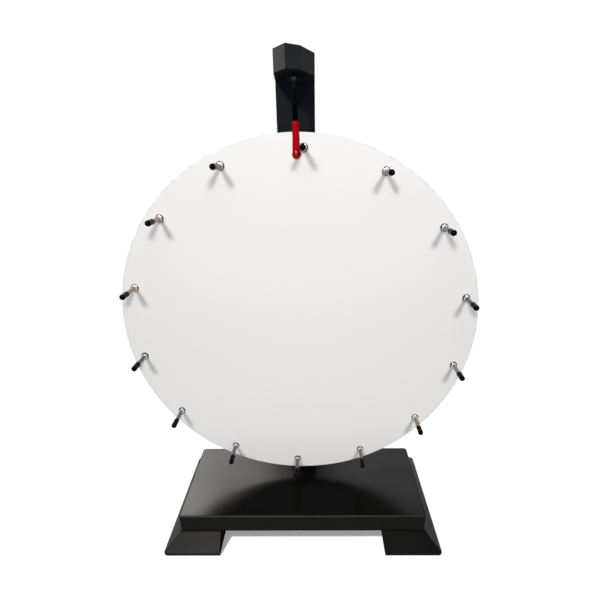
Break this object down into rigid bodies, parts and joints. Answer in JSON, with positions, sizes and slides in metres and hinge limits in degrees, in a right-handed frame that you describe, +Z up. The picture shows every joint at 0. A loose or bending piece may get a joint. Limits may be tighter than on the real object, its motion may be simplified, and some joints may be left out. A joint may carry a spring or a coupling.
{
  "type": "tabletop prize wheel",
  "caption": "Tabletop prize wheel: a blank white disc with pegs turns on a bearing hub on a black lacquered post and base, and a sprung red-tipped flapper clicks against the pegs.",
  "frame": {"origin": "on the table, under the middle of the feet's footprint", "axes": "+X to the right of someone facing the wheel, +Y away from them along the wheel's axle, +Z up"},
  "size_m": [0.4572, 0.1966, 0.5982],
  "materials": {
    "black_lacquer": "gloss black lacquer over smooth board",
    "white_face": "glossy white dry-erase laminate",
    "white_board": "satin white rigid board",
    "white_edge": "satin white edge banding",
    "peg_steel": "bright nickel plated steel",
    "zinc_steel": "zinc plated steel",
    "black_steel": "black oxide steel, oiled",
    "bearing_steel": "ground bearing steel",
    "cage_steel": "pressed steel cage",
    "hub_metal": "turned aluminium",
    "black_vinyl": "smooth black vinyl, semi gloss",
    "red_vinyl": "smooth red dipped vinyl, glossy"
  },
  "bodies": {
    "stand": {"base_board": "black_lacquer", "left_foot": "black_lacquer", "right_foot": "black_lacquer", "post": "black_lacquer", "head_block": "black_lacquer", "foot_screws": "zinc_steel", "post_screws": "zinc_steel", "head_screws": "black_steel", "flapper_insert": "black_steel", "flapper_stud": "black_steel", "flapper_nut": "black_steel", "axle_bolt": "zinc_steel", "axle_head_washer": "zinc_steel", "axle_spacer": "zinc_steel", "axle_front_washer": "zinc_steel", "axle_rear_washer": "zinc_steel", "axle_nut": "zinc_steel", "front_bearing_inner_race": "bearing_steel", "rear_bearing_inner_race": "bearing_steel"},
    "wheel": {"wheel_disc": "white_board", "face_sheet": "white_face", "edge_band": "white_edge", "hub_flange": "hub_metal", "hub_screws": "zinc_steel", "hub_circlip": "black_steel", "front_bearing_outer_race": "bearing_steel", "rear_bearing_outer_race": "bearing_steel", "front_bearing_balls": "bearing_steel", "rear_bearing_balls": "bearing_steel", "front_bearing_cage": "cage_steel", "rear_bearing_cage": "cage_steel", "peg_01": "peg_steel", "peg_02": "peg_steel", "peg_03": "peg_steel", "peg_04": "peg_steel", "peg_05": "peg_steel", "peg_06": "peg_steel", "peg_07": "peg_steel", "peg_08": "peg_steel", "peg_09": "peg_steel", "peg_10": "peg_steel", "peg_11": "peg_steel", "peg_12": "peg_steel", "peg_13": "peg_steel", "peg_14": "peg_steel", "peg_caps": "black_vinyl", "peg_collars": "peg_steel", "peg_washers": "zinc_steel"},
    "flapper": {"flapper_spring": "black_steel", "flapper_rod": "zinc_steel", "flapper_tube": "black_vinyl", "flapper_tip": "red_vinyl"}
  },
  "joints": [
    {"name": "wheel_spin", "type": "hinge", "parent": "stand", "child": "wheel", "pos_m": [0, 0.024, 0.297], "axis": [0, 1, 0], "continuous": true},
    {"name": "flapper_flex", "type": "hinge", "parent": "stand", "child": "flapper", "pos_m": [0.0006, -0.01875, 0.55875], "axis": [0, 1, 0], "range_deg": [0, 45], "stiffness_Nm_per_rad": 0.06, "deforming": ["flapper_spring"]}
  ]
}
